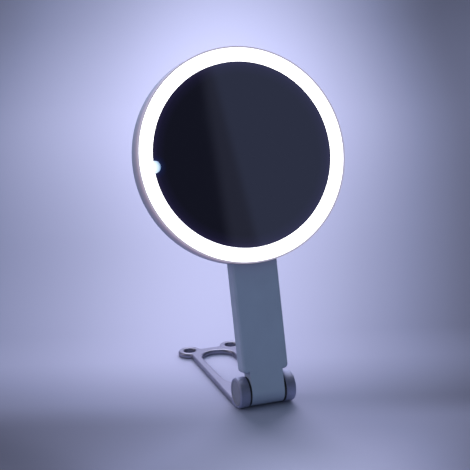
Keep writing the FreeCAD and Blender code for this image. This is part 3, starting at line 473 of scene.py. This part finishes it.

# Touch key: an opal lens on the mirror's edge, with a glow painted on it, white next to the ring and a cold
# blue towards the glass.
# Its contact pad and small board are behind it.
LENS_EDGE = 0.0005
# Painted glow on the key's lens, by its distance from the side next to the ring.
KEY_LENS_PAINTED_GLOW = [
    (1.0, (0.92, 0.95, 0.96)), (1.4, (0.56, 0.68, 0.76)), (1.7, (0.34, 0.45, 0.55)),
    (2.0, (0.05, 0.12, 0.22))]
lens_with_painted_glow = new_finish("lens_with_painted_glow", colour=(0.82, 0.87, 0.90), roughness=0.3)
shader_of(lens_with_painted_glow).inputs["Emission Strength"].default_value = 1.0
ring_side = key_centre - Vector((KEY_RADIUS, 0.0, 0.0))
lens_painted_glow_stops = [(KEY_RADIUS * share, colour) for share, colour in KEY_LENS_PAINTED_GLOW]
feed(lens_with_painted_glow, "Emission Color", graded(lens_with_painted_glow, measured(lens_with_painted_glow, "DISTANCE", ring_side), lens_painted_glow_stops))
relief(lens_with_painted_glow, grain(lens_with_painted_glow, scale=1500.0), height=1e-5)
touch_lens = soften(copy_of("touch_key", "touch_lens"), LENS_EDGE)
dress(touch_lens, lens_with_painted_glow, "head", "touch_key")
contact_metal = new_finish("contact_metal", colour=(0.72, 0.60, 0.34), roughness=0.3, metallic=1.0)
gloss(contact_metal, grain(contact_metal, scale=1500.0), low=0.24, high=0.36)
coat(contact_metal, "touch_contact")
green_board = new_finish("green_board", colour=(0.018, 0.115, 0.055), roughness=0.4)
varnish = grain(green_board, scale=420.0)
shades(green_board, varnish, dark=(0.014, 0.095, 0.045), light=(0.022, 0.135, 0.065))
coat(green_board, "touch_board")

# Control board: a green board under the shell's back, held down by small steel screws.
# It carries the push switch, and the charge lamp's clear pipe, which ends in the shell's back.
coat(green_board, "control_board")
coat(pin_steel, "control_board_screws")
switch_black = new_finish("switch_black", colour=(0.02, 0.02, 0.022), roughness=0.45)
moulded = grain(switch_black, scale=1500.0)
relief(switch_black, moulded, height=1e-5)
gloss(switch_black, moulded, low=0.40, high=0.52)
coat(switch_black, "tact_switch", "switch_plunger")
clear_pipe = new_finish("clear_pipe", colour=(0.75, 0.78, 0.80), roughness=0.12)
gloss(clear_pipe, grain(clear_pipe, scale=500.0), low=0.10, high=0.16)
coat(clear_pipe, "charge_light_pipe")

# Charging socket: a drawn steel mouth with a black plastic tongue down its middle.
# It is soldered to the control board's edge, and opens in the right side of the head.
TONGUE_DEPTH, TONGUE_ROOT = 0.0092, 0.0687
TONGUE_HALF_THICK, TONGUE_HALF_WIDE = 0.00036, 0.0030
STEEL_SLOT, TONGUE_SLOT = 0, 1
socket = copy_of("usb_socket", "charge_socket")
dress(socket, pin_steel, "head", "usb_socket")
socket.data.materials.append(switch_black)
from_head = head_turn.inverted()
for wall in socket.data.polygons:
    across, down, depth = from_head @ wall.center
    in_middle = abs(depth - TONGUE_DEPTH) < TONGUE_HALF_THICK and abs(down) < TONGUE_HALF_WIDE
    wall.material_index = TONGUE_SLOT if in_middle and across > TONGUE_ROOT else STEEL_SLOT

# Power button: a round cap with a shallow dish for the fingertip, moulded in the shell's plastic.
# It slides in the shell's back and presses the switch.
BUTTON_ACROSS, BUTTON_FACE, BUTTON_EDGE = 0.048, 0.0171, 0.00015
DISH_RADIUS, DISH_DEPTH, DISH_ROWS, DISH_STEPS = 0.0041, 0.00035, 8, 64
dish_outline = [(0.0, BUTTON_FACE - DISH_DEPTH)]
for row in range(1, DISH_ROWS + 1):
    reach = row / DISH_ROWS
    dish_outline.append((DISH_RADIUS * reach, BUTTON_FACE - DISH_DEPTH * (1.0 - reach * reach)))
dish_outline += [(DISH_RADIUS, BUTTON_FACE + CUTTER_LIFT), (0.0, BUTTON_FACE + CUTTER_LIFT)]
dish = turned("dish", dish_outline, head_turn @ Matrix.Translation((BUTTON_ACROSS, 0.0, 0.0)), DISH_STEPS)
button = carved(copy_of("power_button", "button_cap"), dish)
dress(soften(button, BUTTON_EDGE), matt_plastic, "power_button", "power_button")

# Battery: a flat cell in silver foil, stuck down on a foam pad.
# Sleeved leads run from it, and from the lamp and touch boards, to the control board.
cell_foil = new_finish("cell_foil", colour=(0.62, 0.63, 0.65), roughness=0.35, metallic=0.8)
relief(cell_foil, grain(cell_foil, scale=300.0), height=5e-5)
coat(cell_foil, "battery_cell")
lead_cover = new_finish("lead_cover", colour=(0.45, 0.05, 0.04), roughness=0.45)
relief(lead_cover, grain(lead_cover, scale=1500.0), height=1e-5)
coat(lead_cover, "battery_leads", "led_leads", "touch_leads")

# Rear shell: a dished cover with a channel at six o'clock, where the handle's top swings on the tilt pin.
# Five sunk screws with cross recesses hold it to the frame's pillars.
SHELL_EDGE = 0.0003
HEAD_DEPTH, SCREW_CIRCLE = 0.0165, 0.062
SCREW_ANGLES = (30.0, 90.0, 150.0, 210.0, 330.0)
# The shell wears the rim's plastic, and so also its painted glow near the front.
head_shell = soften(copy_of("rear_shell", "head_shell"), SHELL_EDGE)
dress(head_shell, plastic_with_painted_glow, "head", "rear_shell")
shell_places = []
for angle in map(math.radians, SCREW_ANGLES):
    across, up = SCREW_CIRCLE * math.cos(angle), SCREW_CIRCLE * math.sin(angle)
    shell_places.append(head_turn @ Matrix.Translation((across, -up, HEAD_DEPTH)))
shell_bits = cross_bits("shell_bits", shell_places)
shell_screws = carved(copy_of("rear_shell_screws", "shell_screws"), shell_bits)
dress(soften(shell_screws, SCREW_EDGE), pin_steel, "head", "rear_shell_screws")

# Table: one pale seamless sheet in matt paint, which runs out of sight behind the object.
# A wide pool of light is painted on it behind the mirror, drawn along the camera's line of sight.
# Painted shade darkens it in bands to either side, and a band of painted shadow lies just in front of the
# stand.
# The painted pool's middle sways a little, and its width changes, from the front to the far end.
CAMERA_YAW = math.radians(19.59)
TABLE_HALF = 6.0
SIGHT_LENGTH, LEAST_SPREAD = 1.242, 0.6
NO_SWAY = 0.5
SWAY = [(-0.15, 0.46), (-0.09, 0.46), (-0.04, 0.51), (0.4, 0.50)]
NARROWING = [(-0.8, 0.0), (-0.2, 0.76), (-0.07, 0.52), (0.1, 0.63), (1.5, 0.92)]
# Painted light across the pool, with painted shade in bands to either side.
PAINTED_LIGHT_ACROSS = [
    (-0.5, 0.55), (-0.15, 0.24), (-0.1, 0.37), (-0.05, 0.71), (0.0, 0.98), (0.05, 0.63), (0.11, 0.18),
    (0.5, 0.55)]
# Painted light along the pool; its dip just in front of the stand is a painted shadow.
PAINTED_LIGHT_AND_SHADOW_ALONG = [
    (-0.8, 0.45), (-0.2, 0.53), (-0.08, 0.28), (0.04, 0.50), (0.4, 0.59), (0.95, 0.78), (2.4, 0.38)]
# Colours of the painted light and shade on the table, from darkest to palest.
PAINTED_LIGHT_SHADES = [(0.0, (0.0, 0.0, 0.0)), (0.25, (0.25, 0.25, 0.37)), (0.72, (0.76, 0.72, 1.0))]


def worked(finish, operation, first, second):
    """One step of arithmetic on two values, each a node's output or a plain number."""
    result = finish.node_tree.nodes.new("ShaderNodeMath")
    result.operation = operation
    for value, socket_in in zip((first, second), result.inputs):
        if isinstance(value, float):
            socket_in.default_value = value
        else:
            finish.node_tree.links.new(value, socket_in)
    return result.outputs["Value"]


# The table's paint carries the painted pool of light, its painted shade and its painted shadow.
table_with_painted_light = new_finish("table_with_painted_light", colour=(0.50, 0.49, 0.63), roughness=0.9)
shader_of(table_with_painted_light).inputs["Specular IOR Level"].default_value = 0.0
table_place = table_with_painted_light.node_tree.nodes.new("ShaderNodeTexCoord")
table_turn = table_with_painted_light.node_tree.nodes.new("ShaderNodeMapping")
table_turn.inputs["Rotation"].default_value = (0.0, 0.0, CAMERA_YAW)
table_axes = table_with_painted_light.node_tree.nodes.new("ShaderNodeSeparateXYZ")
table_with_painted_light.node_tree.links.new(table_place.outputs["Object"], table_turn.inputs["Vector"])
table_with_painted_light.node_tree.links.new(table_turn.outputs["Vector"], table_axes.inputs["Vector"])
sideways, away = table_axes.outputs["X"], table_axes.outputs["Y"]
spread = worked(table_with_painted_light, "MAXIMUM", worked(table_with_painted_light, "ADD", away, SIGHT_LENGTH), LEAST_SPREAD)
sway = worked(table_with_painted_light, "SUBTRACT", graded(table_with_painted_light, away, SWAY, "EASE"), NO_SWAY)
column = worked(table_with_painted_light, "ADD", worked(table_with_painted_light, "DIVIDE", sideways, spread), sway)
narrowed = worked(table_with_painted_light, "MULTIPLY", column, graded(table_with_painted_light, away, NARROWING, "CARDINAL"))
painted_light_across = graded(table_with_painted_light, narrowed, PAINTED_LIGHT_ACROSS, "CARDINAL")
painted_light_along = graded(table_with_painted_light, away, PAINTED_LIGHT_AND_SHADOW_ALONG, "CARDINAL")
painted_light_pool = worked(table_with_painted_light, "MULTIPLY", painted_light_across, painted_light_along)
feed(table_with_painted_light, "Base Color", graded(table_with_painted_light, painted_light_pool, PAINTED_LIGHT_SHADES))
table_mesh = bpy.data.meshes.new("table")
table_corners = [(TABLE_HALF * x, TABLE_HALF * y, 0.0) for x, y in ((-1, -1), (1, -1), (1, 1), (-1, 1))]
table_mesh.from_pydata(table_corners, [], [(0, 1, 2, 3)])
table_mesh.materials.append(table_with_painted_light)
table = bpy.data.objects.new("table", table_mesh)
bpy.context.scene.collection.objects.link(table)

# Light: a broad soft light low behind the mirror, a small lamp overhead and a faint rose one at the left.
# An even fill comes from all round, and gloss shows a room that is bright behind and dark in front.
# The mirror shows the dark part, where two soft upright edges part three shades.
AIM = Vector((0.0, -0.02, 0.13))
BACK_LIGHT_SPREAD = math.radians(52.0)
FILL, BACKDROP = (0.33, 0.425, 0.47), (0.52, 0.54, 0.80)
BACK_WALL, CEILING_LIGHT = (0.72, 0.75, 1.18), (3.0, 3.05, 3.4)
FIRST_SHADE, SECOND_SHADE = (0.0072, 0.0078, 0.0157), (0.0196, 0.0215, 0.0373)
THIRD_SHADE = (0.028, 0.0328, 0.0592)
FIRST_EDGE, SECOND_EDGE = (0.9477, 0.3083, -0.0824), (0.9354, 0.3535, 0.0058)
MIX_UNDER, MIX_OVER, MIX_RESULT = 6, 7, 2


def new_lamp(name, kind, spot, power, colour):
    """A lamp that points at the middle of the object."""
    lamp = bpy.data.lights.new(name, kind)
    lamp.energy = power
    lamp.color = colour
    holder = bpy.data.objects.new(name, lamp)
    holder.location = spot
    holder.rotation_euler = (AIM - Vector(spot)).to_track_quat("-Z", "Y").to_euler()
    bpy.context.scene.collection.objects.link(holder)
    return holder


def soft_lamp(name, spot, width, watts, colour):
    lamp = new_lamp(name, "AREA", spot, watts, colour).data
    lamp.shape = "DISK"
    lamp.size = width


back_light = new_lamp("back_light", "SUN", spot=(0.60, 1.70, 0.95), power=4.4, colour=(0.90, 0.90, 1.0))
back_light.data.angle = BACK_LIGHT_SPREAD
back_light.visible_glossy = False
soft_lamp("top_lamp", spot=(0.2, 0.85, 1.25), width=0.5, watts=2.5, colour=(0.93, 0.94, 1.0))
soft_lamp("left_lamp", spot=(-1.2, 0.25, 0.6), width=0.7, watts=2.5, colour=(1.0, 0.88, 0.97))
world = bpy.data.worlds.new("room")
bpy.context.scene.world = world
world.use_nodes = True
room_nodes, room_links = world.node_tree.nodes, world.node_tree.links
room_nodes.clear()
ray = room_nodes.new("ShaderNodeLightPath")
way = room_nodes.new("ShaderNodeTexCoord")


def side_of(plane, soft_from, soft_to):
    """0 to 1 across a plane through the object, softly, by the direction that is looked in."""
    dot = room_nodes.new("ShaderNodeVectorMath")
    dot.operation = "DOT_PRODUCT"
    dot.inputs[1].default_value = plane
    span = room_nodes.new("ShaderNodeMapRange")
    span.interpolation_type = "SMOOTHSTEP"
    span.inputs["From Min"].default_value = soft_from
    span.inputs["From Max"].default_value = soft_to
    room_links.new(way.outputs["Generated"], dot.inputs[0])
    room_links.new(dot.outputs["Value"], span.inputs["Value"])
    return span.outputs["Result"]


def layered(under, over, share):
    """A colour laid over another where a share says so."""
    mix = room_nodes.new("ShaderNodeMix")
    mix.data_type = "RGBA"
    room_links.new(share, mix.inputs["Factor"])
    for colour, socket_in in ((under, mix.inputs[MIX_UNDER]), (over, mix.inputs[MIX_OVER])):
        if isinstance(colour, tuple):
            socket_in.default_value = (*colour, 1.0)
        else:
            room_links.new(colour, socket_in)
    return mix.outputs[MIX_RESULT]


def glow_of(colour):
    """Light of a plain colour, or of a node's."""
    light = room_nodes.new("ShaderNodeBackground")
    if isinstance(colour, tuple):
        light.inputs["Color"].default_value = (*colour, 1.0)
    else:
        room_links.new(colour, light.inputs["Color"])
    return light.outputs["Background"]


def split_light(rays, others, chosen):
    """One light for most rays, and another for the chosen ones."""
    mix = room_nodes.new("ShaderNodeMixShader")
    room_links.new(rays, mix.inputs["Fac"])
    room_links.new(others, mix.inputs[1])
    room_links.new(chosen, mix.inputs[2])
    return mix.outputs["Shader"]


room = layered(FIRST_SHADE, SECOND_SHADE, side_of(FIRST_EDGE, soft_from=-0.004, soft_to=0.004))
room = layered(room, THIRD_SHADE, side_of(SECOND_EDGE, soft_from=-0.003, soft_to=0.003))
room = layered(room, BACK_WALL, side_of((0.3, 0.95, 0.0), soft_from=0.45, soft_to=0.85))
room = layered(room, CEILING_LIGHT, side_of((0.15, 0.45, 0.88), soft_from=0.88, soft_to=0.96))
lit_room = split_light(ray.outputs["Is Glossy Ray"], glow_of(FILL), glow_of(room))
lit_room = split_light(ray.outputs["Is Camera Ray"], lit_room, glow_of(BACKDROP))
room_output = room_nodes.new("ShaderNodeOutputWorld")
room_links.new(lit_room, room_output.inputs["Surface"])

# Camera: on a long lens, in front of the object, a little to the left and above it.
# It looks down at the object, and is rolled by about a degree and a half.
CAMERA_PLACE = (-0.41496, -1.17073, 0.48228)
CAMERA_PITCH, CAMERA_ROLL = math.radians(16.71), math.radians(-1.55)
LENS_LENGTH, SENSOR_WIDTH = 138.26, 36.0
camera = bpy.data.objects.new("camera", bpy.data.cameras.new("camera"))
camera.data.lens = LENS_LENGTH
camera.data.sensor_width = SENSOR_WIDTH
camera.location = CAMERA_PLACE
level = math.cos(CAMERA_PITCH)
look = Vector((math.sin(CAMERA_YAW) * level, math.cos(CAMERA_YAW) * level, -math.sin(CAMERA_PITCH)))
camera.rotation_mode = "QUATERNION"
camera.rotation_quaternion = look.to_track_quat("-Z", "Y") @ Quaternion((0.0, 0.0, 1.0), CAMERA_ROLL)
bpy.context.scene.collection.objects.link(camera)
bpy.context.scene.camera = camera
bpy.context.scene.view_settings.view_transform = "Standard"
